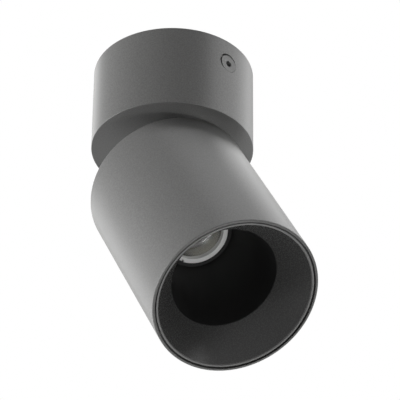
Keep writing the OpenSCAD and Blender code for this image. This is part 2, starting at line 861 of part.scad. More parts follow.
// Plastic ring that presses the LED board on the heat sink
module led_holder() {
    seat = pad_side + 2 * holder_play;
    color(nylon) in_head() difference() {
        rod(holder_d, holder_z, sink_z);
        block(seat, seat, led_z, sink_z + over);
        translate([0, 0, holder_z - over]) cylinder(d1 = holder_hole_d + holder_flare, d2 = holder_hole_d,
            h = sink_z - holder_z + over);
        around(2) translate([holder_screw_x, 0, 0]) rod(small_d + 2 * fit, holder_z - over, sink_z + over);
        translate([0, wire_y, 0]) rod(holder_notch_d, holder_z - over, sink_z + over);
    }
}

// Two screws of the LED holder
module holder_screws() {
    color(zinc) in_head() around(2) translate([holder_screw_x, 0, holder_z]) rotate([180, 0, 0])
        pan_screw(small_d, small_head_d, small_head_h, holder_screw_l, small_key);
}

// Black barrel that holds the reflector, the lens and its ring
module optic_barrel() {
    color(black_plastic) in_head() difference() {
        union() {
            rod(2 * barrel_r, lens_front_z, sink_z);
            rod(2 * (barrel_r + barrel_flange_w), sink_z - barrel_flange_t, sink_z);
        }
        rod(2 * barrel_bore_r, ring_z, sink_z + over);
        rod(lens_ring_d + 2 * barrel_lip_gap, lens_front_z - over, ring_z + over);
        around(barrel_screws, barrel_angle) translate([barrel_screw_r, 0, 0])
            rod(small_d + 2 * fit, sink_z - barrel_flange_t - over, sink_z + over);
    }
}

// Three screws of the optic barrel
module barrel_screws() {
    color(zinc) in_head() around(barrel_screws, barrel_angle)
        translate([barrel_screw_r, 0, sink_z - barrel_flange_t]) rotate([180, 0, 0])
            pan_screw(small_d, small_head_d, small_head_h, barrel_screw_l, small_key);
}

// Radius of the reflector's bowl at a share of its height, from its exit up to its entry
function bowl_r(share) = reflector_entry_r + (reflector_exit_r - reflector_entry_r) * sqrt(1 - share * share);

// Bright bowl that gathers the light
module reflector() {
    steps = 12;
    color("#d9dadb") in_head() translate([0, 0, reflector_z]) difference() {
        union() {
            rotate_extrude() polygon(concat(
                [for (i = [0 : steps]) [bowl_r(i / steps), reflector_h * i / steps]],
                [for (i = [steps : -1 : 0]) [bowl_r(i / steps) + reflector_wall, reflector_h * i / steps]]));
            ring(2 * (barrel_bore_r - fit), 2 * reflector_exit_r + reflector_wall, 0, reflector_flange_t);
        }
    }
}

// Clear disc in front of the reflector
module lens() {
    color("#cfd8dc") in_head() rod(2 * (barrel_bore_r - lens_gap), lens_z, lens_z + lens_t);
}

// Pale ring that holds the lens from the front, with notches for the fingers of a key
module lens_ring() {
    color("#b4b6b8") in_head() difference() {
        union() {
            rod(lens_ring_d, lens_front_z, ring_z);
            rod(2 * (barrel_bore_r - fit), ring_z, lens_z);
        }
        rod(lens_clear_d, lens_front_z - over, lens_z + over);
        around(ring_notches, ring_notch_angle)
            translate([lens_ring_d / 2 - ring_notch_depth, -ring_notch_w / 2, lens_front_z - over])
                cube([ring_notch_depth + over, ring_notch_w, barrel_lip_t + over]);
    }
}

// Dark funnel from the lens to the cone, clamped between the barrel's front and the cone's throat
module baffle() {
    top_r = baffle_top_d / 2;
    color(black_plastic) in_head() rotate_extrude() polygon([
        [top_r, lens_front_z], [barrel_r, lens_front_z], [barrel_r, lens_front_z - baffle_wall],
        [top_r + baffle_wall, lens_front_z - baffle_wall], [baffle_foot_r, seal_z], [throat_r, seal_z]]);
}

// Seal ring between the tube's shoulder and the cone's skirt, which centres the baffle's foot
module baffle_seal() {
    color(rubber) in_head() ring(2 * skirt_r, 2 * (baffle_foot_r + fit), seal_z, shoulder_z);
}

// Grey cone screwed into the mouth, with a lip that shows beside the tube's edge
module antiglare_cone() {
    slope = (cone_mouth_r - throat_r) / (cone_depth - lip_inset - lip_drop);
    skirt_in = skirt_r - skirt_wall;
    back_r = throat_r + cone_wall;
    meet = cone_depth - (skirt_in - back_r) / slope;
    color(powder_grey) in_head() translate([0, 0, mouth_z]) rotate_extrude() polygon([
        [cone_mouth_r, lip_inset + lip_drop], [cone_mouth_r + lip_flat, lip_inset],
        [skirt_r - lip_groove, lip_inset], [skirt_r - lip_groove, lip_inset + lip_groove_depth],
        [skirt_r, lip_inset + lip_groove_depth], [skirt_r, cone_depth], [skirt_in, cone_depth],
        [skirt_in, meet], [back_r, cone_depth], [throat_r, cone_depth]]);
}

ceiling_plate();
plate_grommet();
canopy_shell();
canopy_screws();
terminal_block();
terminal_screws();
terminal_fixing_screw();
earth_screw();
driver_bridge();
bridge_screws();
driver_case();
driver_lid();
driver_board();
driver_screws();
stop_pin();
swivel_stem();
outer_washer();
inner_washer();
spring_washer();
stop_washer();
swivel_nut();
head_tube();
heat_sink();
heat_sink_screws();
tilt_bracket();
bracket_screws();
friction_washers();
tilt_screw();
tilt_nut();
wire_grommet();
thermal_pad();
led_board();
led_emitter();
led_holder();
holder_screws();
optic_barrel();
barrel_screws();
reflector();
lens();
lens_ring();
baffle();
baffle_seal();
antiglare_cone();
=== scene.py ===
"""Looks of a surface mounted ceiling spotlight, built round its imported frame.

The spotlight has three bodies: the canopy on the ceiling, the swivel stem below it, and the head that leans
on the stem. Each has a class here that builds its pieces and gives every one its finish. Their lengths are
in millimetres until a shape becomes a piece, and all angles are in degrees.
"""

import logging
import math
from dataclasses import dataclass, field
from enum import Enum
from typing import Any, ClassVar, Iterable, Optional, Sequence, Union

import bmesh
import bpy
from mathutils import Matrix, Vector


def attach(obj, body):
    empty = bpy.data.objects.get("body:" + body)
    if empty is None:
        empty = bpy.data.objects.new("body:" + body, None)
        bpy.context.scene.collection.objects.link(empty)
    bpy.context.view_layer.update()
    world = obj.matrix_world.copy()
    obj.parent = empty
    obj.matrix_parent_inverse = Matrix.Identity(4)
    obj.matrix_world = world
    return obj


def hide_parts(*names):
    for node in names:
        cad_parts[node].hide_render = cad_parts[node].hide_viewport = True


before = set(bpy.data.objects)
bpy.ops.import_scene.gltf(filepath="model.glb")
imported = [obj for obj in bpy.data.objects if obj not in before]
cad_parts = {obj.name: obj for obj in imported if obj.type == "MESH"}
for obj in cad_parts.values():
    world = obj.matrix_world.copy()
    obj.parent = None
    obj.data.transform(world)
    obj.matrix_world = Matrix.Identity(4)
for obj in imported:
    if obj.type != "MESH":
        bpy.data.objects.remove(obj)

LOG = logging.getLogger("spotlight")
MM = 0.001  # metres in a millimetre
ROUND_STEPS = 160  # steps round a large turned piece
MEDIUM_STEPS = 96  # steps round a sleeve or a screw's recess
FINE_STEPS = 48  # steps round a screw's head
SMALL_STEPS = 24  # steps round a thread or a small hole
CORNER_STEPS = 4  # chords in a rounded corner
CORNER_REACH = 0.48  # largest share of a side that one rounded corner takes
OVERRUN = 1.0  # how far a cutter stands past what it cuts
OVERLAP = 0.01  # how far one cutter reaches into another's space
JOIN_DISTANCE = 1e-4  # points nearer than this are one
SHARP_ANGLE = 32.0  # an edge with a greater angle stays sharp
BEVEL_ANGLE = 50.0  # an edge of a cut piece with a greater angle is bevelled
BEVEL_STEPS = 2  # faces across a bevel
ROUND_PROFILE = 0.5  # Blender's number for a bevel that is part of a circle
WHITE = (1.0, 1.0, 1.0, 1.0)

Corner = tuple[float, float, float]
Value = Union["Wire", float, int]
Key = Union[str, int]
Colour = tuple[float, float, float]
Span = tuple[float, float]
Dressing = dict[str, tuple["Look", float]]


class Body(Enum):
    """The bodies of the spotlight, as the frame names them."""

    CANOPY = "canopy"
    SWIVEL = "swivel"
    HEAD = "head"


class Lay(Enum):
    """How the fine lines of a machined surface run."""

    ROUND = "round"
    STRAIGHT = "straight"


class Wire:
    """One output of a shader node, on which Python's operators add Math nodes."""

    def __init__(self, tree: "Tree", node: bpy.types.Node, output: Key = 0) -> None:
        """Wrap one output of a node.

        Args:
            tree: The tree that the node belongs to.
            node: The node.
            output: Name or number of the output.
        """
        self.tree = tree
        self.node = node
        self.output = output

    @property
    def socket(self) -> bpy.types.NodeSocket:
        """Give the output's socket."""
        return self.node.outputs[self.output]

    def beside(self, output: Key) -> "Wire":
        """Give another output of the same node."""
        return Wire(self.tree, self.node, output)

    def _math(self, operation: str, *values: Value) -> "Wire":
        """Add one Math node on values in their order."""
        return self.tree.node("ShaderNodeMath", {"operation": operation}, dict(enumerate(values)))

    def __add__(self, other: Value) -> "Wire":
        """Add another value."""
        return self._math("ADD", self, other)

    __radd__ = __add__

    def __sub__(self, other: Value) -> "Wire":
        """Subtract another value."""
        return self._math("SUBTRACT", self, other)

    def __rsub__(self, other: Value) -> "Wire":
        """Subtract this value from another."""
        return self._math("SUBTRACT", other, self)

    def __mul__(self, other: Value) -> "Wire":
        """Multiply by another value."""
        return self._math("MULTIPLY", self, other)

    __rmul__ = __mul__

    def __pow__(self, other: Value) -> "Wire":
        """Raise to a power."""
        return self._math("POWER", self, other)

    def __rpow__(self, other: Value) -> "Wire":
        """Raise another value to the power of this one."""
        return self._math("POWER", other, self)

    def __gt__(self, other: Value) -> "Wire":
        """Give 1 where this value is greater."""
        return self._math("GREATER_THAN", self, other)

    def __lt__(self, other: Value) -> "Wire":
        """Give 1 where this value is less."""
        return self._math("LESS_THAN", self, other)

    def most(self, other: Value) -> "Wire":
        """Give the greater of two values."""
        return self._math("MAXIMUM", self, other)

    def wave(self) -> "Wire":
        """Give the sine of the value."""
        return self._math("SINE", self)

    def fade(self, low: float, high: float) -> "Wire":
        """Rise smoothly from 0 at the low value to 1 at the high one."""
        return self.tree.node("ShaderNodeMapRange", {"interpolation_type": "SMOOTHSTEP"},
                              {"Value": self, "From Min": low, "From Max": high})


class Tree:
    """The nodes of one material or of the world."""

    MIX_COLOURS: ClassVar[tuple[int, int]] = (6, 7)  # the Mix node's two colour inputs
    MIX_RESULT: ClassVar[int] = 2  # its colour output

    def __init__(self, owner: Union[bpy.types.Material, bpy.types.World]) -> None:
        """Start an empty tree.

        Args:
            owner: The material or world whose nodes are made.
        """
        owner.use_nodes = True
        self.nodes = owner.node_tree.nodes
        self.links = owner.node_tree.links
        self.nodes.clear()

    def node(self, kind: str, settings: Optional[dict[str, Any]] = None,
             inputs: Optional[dict[Key, Any]] = None, output: Key = 0) -> Wire:
        """Add one node and give one of its outputs.

        Args:
            kind: The node's type.
            settings: Its properties, which are set first.
            inputs: Values or links of its input sockets, by name or number.
            output: Name or number of the output.

        Returns:
            The output.
        """
        node = self.nodes.new(kind)
        for name, value in (settings or {}).items():
            setattr(node, name, value)
        for key, value in (inputs or {}).items():
            socket = node.inputs[key]
            if isinstance(value, Wire):
                self.links.new(value.socket, socket)
            else:
                socket.default_value = value
        return Wire(self, node, output)

    def place(self) -> Wire:
        """Give the place on the piece, in metres."""
        return self.node("ShaderNodeTexCoord", output="Object")

    def noise(self, at: Wire, grain: float, layers: float = 2.0, share: float = 0.5) -> Wire:
        """Give noise from 0 to 1 by its grain in millimetres, its finer layers and the share of each."""
        return self.node("ShaderNodeTexNoise", None, {"Vector": at, "Scale": 1 / (grain * MM),
                                                      "Detail": layers, "Roughness": share})

    def stretched(self, at: Wire, scale: tuple[float, float, float]) -> Wire:
        """Give a place with each axis stretched by its factor."""
        return self.node("ShaderNodeVectorMath", {"operation": "MULTIPLY"}, {0: at, 1: scale})

    def flat(self, at: Wire) -> tuple[Wire, Wire]:
        """Give a place's coordinates along X and Y."""
        across = self.node("ShaderNodeSeparateXYZ", None, {"Vector": at})
        return across, across.beside(1)

    def blend(self, share: Wire, first: Any, second: Any) -> Wire:
        """Mix two colours.

        Args:
            share: Share of the second colour.
            first: The first colour, a link or three numbers.
            second: The second colour, a link or three numbers.

        Returns:
            The mixed colour.
        """
        colours = {key: value if isinstance(value, Wire) else (*value, 1.0)
                   for key, value in zip(self.MIX_COLOURS, (first, second))}
        return self.node("ShaderNodeMix", {"data_type": "RGBA"}, {0: share, **colours}, self.MIX_RESULT)

    def bump(self, height: Wire, depth: float) -> Wire:
        """Give the normal of a surface with a relief from 0 to 1, of a depth in millimetres."""
        return self.node("ShaderNodeBump", None, {"Height": height, "Distance": depth * MM}, "Normal")


def tinted(colour: Colour, factor: float) -> Colour:
    """Make a colour lighter or darker by a factor."""
    return (colour[0] * factor, colour[1] * factor, colour[2] * factor)


def grey(level: float) -> Colour:
    """Give a neutral grey."""
    return (level, level, level)


@dataclass(frozen=True)
class Finish:
    """A surface finish, which makes its material once. Its sizes and depths are in millimetres."""

    slot: str  # the record's material slot that it stands for
    colour: Colour
    roughness: float
    variant: str = field(default="", kw_only=True)  # what sets it apart from the slot's main finish

    def material(self) -> bpy.types.Material:
        """Give the finish's material, made at its first use.

        Returns:
            The material.
        """
        name = f"{self.slot}{self.variant}_look"
        made = bpy.data.materials.get(name)
        if made is None:
            made = bpy.data.materials.new(name)
            tree = Tree(made)
            shader = tree.node("ShaderNodeBsdfPrincipled", None, self.sockets(tree))
            tree.node("ShaderNodeOutputMaterial", None, {"Surface": shader})
            LOG.info("finish %s", name)
        return made

    def sockets(self, tree: Tree) -> dict[str, Any]:
        """Give the shader's values and links by the names of their sockets."""
        raise NotImplementedError

    def mottled(self, tree: Tree, tone: Wire, share: float) -> Wire:
        """Vary the colour with a tone, by a share of itself to either side."""
        return tree.blend(tone, tinted(self.colour, 1 - share), tinted(self.colour, 1 + share))

    def uneven(self, tone: Wire, spread: float) -> Wire:
        """Vary the roughness with a tone, by half the spread to either side."""
        return self.roughness - spread / 2 + tone * spread


@dataclass(frozen=True)
class PowderCoat(Finish):
    """Matt powder coat with orange peel, a fine grain and faint clouds."""

    peel: float = 1.1  # of the coat's orange peel
    grain: float = 0.6
    cloud: float = 30.0
    cloud_share: float = 0.2  # clouds' share of the tone, the rest is grain
    speckle: float = 0.22  # share by which the tone changes the colour
    fade: Span = (0.3, 0.7)  # where the grain's light specks begin and end
    relief: float = 0.028
    grain_relief: float = 0.35  # grain's share of the relief
    spread: float = 0.12
    gloss: float = 0.5  # specular level

    def sockets(self, tree: Tree) -> dict[str, Any]:
        """Give the coat's sockets.

        Args:
            tree: The tree to build in.

        Returns:
            The shader's input sockets by name.
        """
        at = tree.place()
        peel = tree.noise(at, self.peel, layers=1.0)
        grain = tree.noise(at, self.grain, layers=3.0, share=0.6)
        cloud = tree.noise(at, self.cloud)
        tone = grain.fade(*self.fade) * (1 - self.cloud_share) + cloud * self.cloud_share
        relief = peel * (1 - self.grain_relief) + grain * self.grain_relief
        return {"Base Color": self.mottled(tree, tone, self.speckle),
                "Roughness": self.uneven(grain, self.spread),
                "Specular IOR Level": self.gloss,
                "Normal": tree.bump(relief, self.relief)}


@dataclass(frozen=True)
class Metal(Finish):
    """Bare or plated metal with fine machining lines and faint patches."""

    lay: Lay = Lay.STRAIGHT  # how the lines run
    pitch: float = 0.22  # distance of the lines
    relief: float = 0.003  # depth of the lines
    cast: Colour = (0.6, 0.6, 0.6)  # colour of the patches where the metal or its plating differs
    bare: float = 1.0  # metallic share, below 1 where the surface is blasted or lacquered
    stretch: tuple[float, float, float] = (0.04, 1.0, 1.0)  # factors that draw the grain out into lines
    patch: float = 7.0  # size of the patches
    fade: Span = (0.35, 0.7)  # where the patches begin and end
    patch_tint: float = 0.5  # share of the cast that a patch gives
    line_tint: float = 0.25  # share of the cast that a line gives
    patch_spread: float = 0.06  # spread of the roughness by the patches
    line_spread: float = 0.1  # spread of the roughness by the lines

    def line_place(self, tree: Tree, at: Wire) -> Wire:
        """Give the place that the lines vary with.

        Args:
            tree: The tree to build in.
            at: The place on the piece.

        Returns:
            The place, drawn out along straight lines or round turned ones.
        """
        if self.lay is Lay.STRAIGHT:
            return tree.stretched(at, self.stretch)
        across, along = tree.flat(at)
        radius = (across * across + along * along) ** 0.5
        return tree.node("ShaderNodeCombineXYZ", None, {0: radius, 1: 0.0, 2: 0.0})

    def sockets(self, tree: Tree) -> dict[str, Any]:
        """Give the metal's sockets.

        Args:
            tree: The tree to build in.

        Returns:
            The shader's input sockets by name.
        """
        at = tree.place()
        lines = tree.noise(self.line_place(tree, at), self.pitch, share=0.6)
        patches = tree.noise(at, self.patch, layers=3.0, share=0.6).fade(*self.fade)
        tone = patches * self.patch_tint + lines * self.line_tint
        smooth = self.roughness - (self.line_spread + self.patch_spread) / 2
        return {"Base Color": tree.blend(tone, self.colour, self.cast),
                "Metallic": self.bare,
                "Roughness": smooth + lines * self.line_spread + patches * self.patch_spread,
                "Normal": tree.bump(lines, self.relief)}


@dataclass(frozen=True)
class Plastic(Finish):
    """Moulded plastic or rubber with a spark-eroded texture and faint flow marks."""

    grain: float = 0.35  # size of the texture's grain
    relief: float = 0.01  # depth of the texture
    gloss: float = 0.5  # specular level
    glow: float = 0.0  # subsurface weight of a milky plastic
    glow_depth: float = 0.5  # depth that light reaches in it
    flow: float = 9.0  # size of the flow marks
    flow_share: float = 0.6  # flow's share of the tone, the rest is grain
    tint: float = 0.07  # share by which the tone changes the colour
    spread: float = 0.12

    def sockets(self, tree: Tree) -> dict[str, Any]:
        """Give the plastic's sockets.

        Args:
            tree: The tree to build in.

        Returns:
            The shader's input sockets by name.
        """
        at = tree.place()
        grain = tree.noise(at, self.grain, share=0.6)
        tone = tree.noise(at, self.flow) * self.flow_share + grain * (1 - self.flow_share)
        return {"Base Color": self.mottled(tree, tone, self.tint),
                "Roughness": self.uneven(grain, self.spread),
                "Specular IOR Level": self.gloss,
                "Subsurface Weight": self.glow,
                "Subsurface Scale": self.glow_depth * MM,
                "Normal": tree.bump(grain, self.relief)}


@dataclass(frozen=True)
class Board(Finish):
    """Circuit board under solder mask, with tracks and bare pads."""

    track: Colour = (0.09, 0.3, 0.14)  # colour of the mask over a copper track
    pad: Colour = (0.8, 0.66, 0.38)  # colour of a bare pad
    pitch: float = 2.2  # distance of the pads
    disorder: float = 0.6  # how far the pads leave their grid, from 0 to 1
    pad_edge: Span = (0.16, 0.2)  # where a pad's edge begins and ends, in pitches
    track_edges: Span = (0.34, 0.52)  # where a track begins and ends, in pitches
    pad_rough: float = 0.1  # roughness that a pad adds
    mask_coat: float = 0.3  # coat weight of the mask
    relief: float = 0.02  # height of tracks and pads

    def sockets(self, tree: Tree) -> dict[str, Any]:
        """Give the board's sockets.

        Args:
            tree: The tree to build in.

        Returns:
            The shader's input sockets by name.
        """
        away = tree.node("ShaderNodeTexVoronoi", {"distance": "MANHATTAN"}, {
            "Vector": tree.place(), "Scale": 1 / (self.pitch * MM), "Randomness": self.disorder}, "Distance")
        pads = 1 - away.fade(*self.pad_edge)
        near, far = self.track_edges
        tracks = (away > near) * (away < far)
        masked = tree.blend(tracks, self.colour, self.track)
        return {"Base Color": tree.blend(pads, masked, self.pad),
                "Roughness": self.roughness + pads * self.pad_rough,
                "Metallic": pads,
                "Coat Weight": (1 - pads) * self.mask_coat,
                "Normal": tree.bump(tracks.most(pads), self.relief)}


@dataclass(frozen=True)
class Lamp(Finish):
    """Phosphor disc of the LED under clear silicone, with its rows of chips."""

    chip: Colour = (0.8, 0.77, 0.62)  # colour over a chip
    pitch: float = 1.5  # distance of the chips
    chip_edge: Span = (-0.2, 0.6)  # where a chip begins and ends, on a wave from -1 to 1
    chip_tint: float = 0.6  # share of the chip's colour over a chip
    powder: float = 0.2  # size of the phosphor's grain
    powder_tint: float = 0.3  # share of the chip's colour on a grain
    powder_rough: float = 0.08  # roughness that a grain adds
    silicone: float = 0.6  # coat weight of the silicone
    relief: float = 0.004  # depth of the grain

    def sockets(self, tree: Tree) -> dict[str, Any]:
        """Give the disc's sockets.

        Args:
            tree: The tree to build in.

        Returns:
            The shader's input sockets by name.
        """
        at = tree.place()
        across, along = tree.flat(at)
        turn = 2 * math.pi / (self.pitch * MM)
        chips = ((across * turn).wave() * (along * turn).wave()).fade(*self.chip_edge)
        powder = tree.noise(at, self.powder)
        tone = chips * self.chip_tint + powder * self.powder_tint
        return {"Base Color": tree.blend(tone, self.colour, self.chip),
                "Roughness": self.roughness + powder * self.powder_rough,
                "Coat Weight": self.silicone,
                "Normal": tree.bump(powder, self.relief)}


@dataclass(frozen=True)
class Glass(Finish):
    """Clear glass with a faint trace of dust, as thin as the share of light that it reflects."""

    ior: float = 1.49  # index of refraction
    dust: float = 4.0  # size of the dust's patches
    fade: Span = (0.5, 0.9)  # where the dust begins and is thickest
    dust_tint: float = 0.4  # share by which the dust dulls the colour
    dust_colour: float = 0.9  # factor on the colour of thick dust
    dust_rough: float = 0.03  # roughness that the dust adds
    dust_cover: float = 0.02  # share of the light that thick dust holds back
    swell: float = 6.0  # size of the surface's swells
    relief: float = 0.002  # depth of the swells

    def sockets(self, tree: Tree) -> dict[str, Any]:
        """Give the glass's sockets.

        Args:
            tree: The tree to build in.

        Returns:
            The shader's input sockets by name.
        """
        at = tree.place()
        dust = tree.noise(at, self.dust, layers=4.0, share=0.65).fade(*self.fade)
        reflected = tree.node("ShaderNodeFresnel", None, {"IOR": self.ior})
        dulled = tinted(self.colour, self.dust_colour)
        return {"Base Color": tree.blend(dust * self.dust_tint, self.colour, dulled),
                "Metallic": 1.0,
                "Roughness": self.roughness + dust * self.dust_rough,
                "Alpha": reflected + dust * self.dust_cover,
                "Normal": tree.bump(tree.noise(at, self.swell, layers=1.0), self.relief)}


class Look(Enum):
    """The finishes of the spotlight."""

    COAT = PowderCoat("powder_coat", (0.145, 0.145, 0.142), 0.37)
    # Painted shade: the cone's inside has the same grey coat as the tube, made darker here to stand for the
    # shade deep in the mouth.
    CONE_PAINTED_SHADE_COAT = PowderCoat("powder_coat", (0.07, 0.07, 0.069), 0.27, gloss=0.3, variant="_painted_shade")
    # Painted highlight: a paler copy of the coat on the cone's lip, where light catches its rounded edge.
    LIP_PAINTED_HIGHLIGHT = PowderCoat("powder_coat", (0.24, 0.24, 0.237), 0.3, speckle=0.1, variant="_lip")
    ZINC = Metal("zinc_steel", (0.5, 0.51, 0.53), 0.46, cast=(0.56, 0.55, 0.51))
    SPRING = Metal("spring_steel", (0.42, 0.43, 0.45), 0.36, cast=(0.36, 0.36, 0.38))
    ALUMINIUM = Metal("bare_aluminium", (0.72, 0.73, 0.74), 0.34, pitch=0.4, cast=(0.66, 0.67, 0.69))
    BRASS = Metal("brass", (0.62, 0.47, 0.2), 0.32, cast=(0.5, 0.36, 0.16))
    NYLON = Plastic("nylon", (0.82, 0.8, 0.74), 0.5, glow=0.15)
    BLACK = Plastic("black_plastic", grey(0.008), 0.6, gloss=0.35)
    RUBBER = Plastic("rubber", (0.03, 0.03, 0.032), 0.8, grain=0.5, gloss=0.3)
    PAD = Plastic("thermal_pad", (0.4, 0.5, 0.58), 0.7, grain=0.6, gloss=0.3)
    CERAMIC = Plastic("ceramic", (0.82, 0.82, 0.8), 0.55, grain=0.2, relief=0.004)
    BOARD = Board("circuit_board", (0.05, 0.22, 0.1), 0.4)
    PHOSPHOR = Lamp("phosphor", (0.76, 0.74, 0.66), 0.3)
    MIRROR = Metal("mirror_finish", grey(0.46), 0.24, lay=Lay.ROUND, pitch=0.8, relief=0.002,
                   cast=grey(0.42), bare=0.9)
    GLASS = Glass("clear_glass", (0.96, 0.97, 0.96), 0.02)
    SILVER = Metal("ring_silver", (0.84, 0.84, 0.83), 0.5, lay=Lay.ROUND, pitch=0.3, relief=0.004,
                   cast=(0.8, 0.8, 0.79), bare=0.1)


def rounded(corners: Sequence[Corner], steps: int = CORNER_STEPS) -> list[Span]:
    """Round the corners of an outline.

    Args:
        corners: The corners in order, each with its two coordinates and its radius.
        steps: Number of chords in each round.

    Returns:
        The outline's points.
    """
    points: list[Span] = []
    for i, (x, y, radius) in enumerate(corners):
        here = Vector((x, y))
        back = Vector(corners[i - 1][:2]) - here
        ahead = Vector(corners[(i + 1) % len(corners)][:2]) - here
        if radius <= 0:
            points.append((x, y))
            continue
        half = back.angle(ahead) / 2
        reach = min(radius / math.tan(half), CORNER_REACH * back.length, CORNER_REACH * ahead.length)
        middle = here + (back.normalized() + ahead.normalized()).normalized() * reach / math.cos(half)
        start = here + back.normalized() * reach - middle
        sweep = math.pi - 2 * half
        side = 1.0 if back.cross(ahead) < 0 else -1.0
        for step in range(steps + 1):
            turn = Matrix.Rotation(side * sweep * step / steps, 2)
            points.append(tuple(middle + turn @ start))
    return points


def circle(radius: float, steps: int, across: float = 0.0) -> list[Span]:
    """Give the points of a circle whose middle lies across from the origin."""
    turns = [2 * math.pi * i / steps for i in range(steps)]
    return [(across + radius * math.cos(turn), radius * math.sin(turn)) for turn in turns]


def hexagon(key: float) -> list[Span]:
    """Give the corners of a hexagon of a given width across flats."""
    return circle(key / math.sqrt(3), 6)


def turned(angle: float, axis: str = "Z") -> Matrix:
    """Give a turn about an axis, in degrees."""
    return Matrix.Rotation(math.radians(angle), 4, axis)


def shifted(x: float = 0.0, y: float = 0.0, z: float = 0.0) -> Matrix:
    """Give a shift in millimetres."""
    return Matrix.Translation((x, y, z))


class Shape:
    """A closed mesh in millimetres that can be moved, cut and joined."""

    THREAD_DEPTH: ClassVar[float] = 0.54  # in pitches
    THREAD_ROWS: ClassVar[int] = 4  # rings of points in a pitch

    def __init__(self, mesh: Optional[bmesh.types.BMesh] = None) -> None:
        """Wrap a mesh, or start an empty one."""
        self.mesh = mesh or bmesh.new()

    @classmethod
    def sweep(cls, rings: Sequence[Sequence[tuple[float, float, float]]], closed: bool = False) -> "Shape":
        """Join rings of points into a closed skin.

        Args:
            rings: The rings in order, each with as many points as the others, or a single point.
            closed: Whether the last ring joins the first. Otherwise both ends are capped.

        Returns:
            The shape.
        """
        shape = cls()
        made = [[shape.mesh.verts.new(point) for point in ring] for ring in rings]
        pairs = list(zip(made, made[1:] + made[:1] if closed else made[1:]))
        for low, high in pairs:
            count = max(len(low), len(high))
            for i in range(count):
                j = (i + 1) % count
                corners = [low[i % len(low)], low[j % len(low)], high[j % len(high)], high[i % len(high)]]
                unique = list(dict.fromkeys(corners))
                if len(unique) > 2:
                    shape.mesh.faces.new(unique)
        if not closed:
            for ring in (made[0], made[-1]):
                if len(ring) > 2:
                    shape.mesh.faces.new(ring)
        bmesh.ops.recalc_face_normals(shape.mesh, faces=shape.mesh.faces)
        return shape

    @classmethod
    def lathe(cls, outline: Sequence[Span], steps: int = ROUND_STEPS) -> "Shape":
        """Turn an outline round the Z axis.

        Args:
            outline: Radius and height of its points. One that starts and ends on the axis gives a full body,
                and any other a ring.
            steps: Number of steps round the axis.

        Returns:
            The shape.
        """
        full = outline[0][0] == 0 and outline[-1][0] == 0
        rings = []
        for radius, height in outline:
            ring = circle(radius, steps) if radius > 0 else [(0.0, 0.0)]
            rings.append([(x, y, height) for x, y in ring])
        return cls.sweep(rings, closed=not full)

    @classmethod
    def prism(cls, outline: Sequence[Span], low: float, high: float) -> "Shape":
        """Raise an outline along Z from the low height to the high one."""
        return cls.sweep([[(x, y, z) for x, y in outline] for z in (low, high)])

    @classmethod
    def threaded(cls, diameter: float, low: float, high: float, pitch: float) -> "Shape":
        """Make a threaded rod.

        Args:
            diameter: Its outer diameter.
            low: Height of its lower end.
            high: Height of its upper end.
            pitch: Pitch of the thread.

        Returns:
            The shape.
        """
        crest = diameter / 2
        depth = cls.THREAD_DEPTH * pitch
        rows = max(2, round(cls.THREAD_ROWS * (high - low) / pitch))
        rings = []
        for row in range(rows + 1):
            height = low + (high - low) * row / rows
            end = min(height - low, high - height)
            ring = []
            for i, (x, y) in enumerate(circle(1.0, SMALL_STEPS)):
                phase = (height / pitch - i / SMALL_STEPS) % 1.0
                radius = min(crest - depth * abs(2 * phase - 1), crest - depth + end)
                ring.append((x * radius, y * radius, height))
            rings.append(ring)
        return cls.sweep(rings)

    def moved(self, matrix: Matrix) -> "Shape":
        """Move this shape."""
        self.mesh.transform(matrix)
        return self

    def copies(self, matrices: Iterable[Matrix]) -> list["Shape"]:
        """Give a moved copy of the shape for each matrix."""
        return [Shape(self.mesh.copy()).moved(matrix) for matrix in matrices]

    def with_also(self, *others: "Shape") -> "Shape":
        """Take other shapes into this one, as they are.

        Args:
            others: The shapes, which stay separate shells.

        Returns:
            This shape.
        """
        for other in others:
            data = other.to_mesh("part")
            self.mesh.from_mesh(data)
            bpy.data.meshes.remove(data)
        return self

    def to_mesh(self, name: str) -> bpy.types.Mesh:
        """Give the shape as Blender's mesh.

        Args:
            name: The mesh's name.

        Returns:
            The mesh.
        """
        data = bpy.data.meshes.new(name)
        self.mesh.to_mesh(data)
        return data

    def _cut_one(self, other: "Shape") -> None:
        """Cut another shape out of this one.

        Args:
            other: The other shape.
        """
        scene = bpy.context.scene.collection
        objects = [bpy.data.objects.new("part", shape.to_mesh("part")) for shape in (self, other)]
        for item in objects:
            scene.objects.link(item)
        modifier = objects[0].modifiers.new("cut", "BOOLEAN")
        modifier.operation = "DIFFERENCE"
        modifier.solver = "EXACT"
        modifier.object = objects[1]
        bpy.context.view_layer.update()
        graph = bpy.context.evaluated_depsgraph_get()
        data = bpy.data.meshes.new_from_object(objects[0].evaluated_get(graph))
        self.mesh.clear()
        self.mesh.from_mesh(data)
        for item in objects:
            old = item.data
            bpy.data.objects.remove(item)
            bpy.data.meshes.remove(old)
        bpy.data.meshes.remove(data)
        bmesh.ops.remove_doubles(self.mesh, verts=self.mesh.verts, dist=JOIN_DISTANCE)

    def cut(self, *others: "Shape") -> "Shape":
        """Cut other shapes out of this one.

        Args:
            others: The other shapes, in order.

        Returns:
            This shape.
        """
        for other in others:
            self._cut_one(other)
        return self

    def eased(self, width: float) -> "Shape":
        """Bevel the sharp edges.

        Args:
            width: Width of the bevels.

        Returns:
            This shape.
        """
        limit = math.radians(BEVEL_ANGLE)
        edges = [e for e in self.mesh.edges if len(e.link_faces) == 2 and e.calc_face_angle(0.0) > limit]
        bmesh.ops.bevel(self.mesh, geom=edges, offset=width, segments=BEVEL_STEPS, profile=ROUND_PROFILE,
                        affect="EDGES", clamp_overlap=True)
        return self


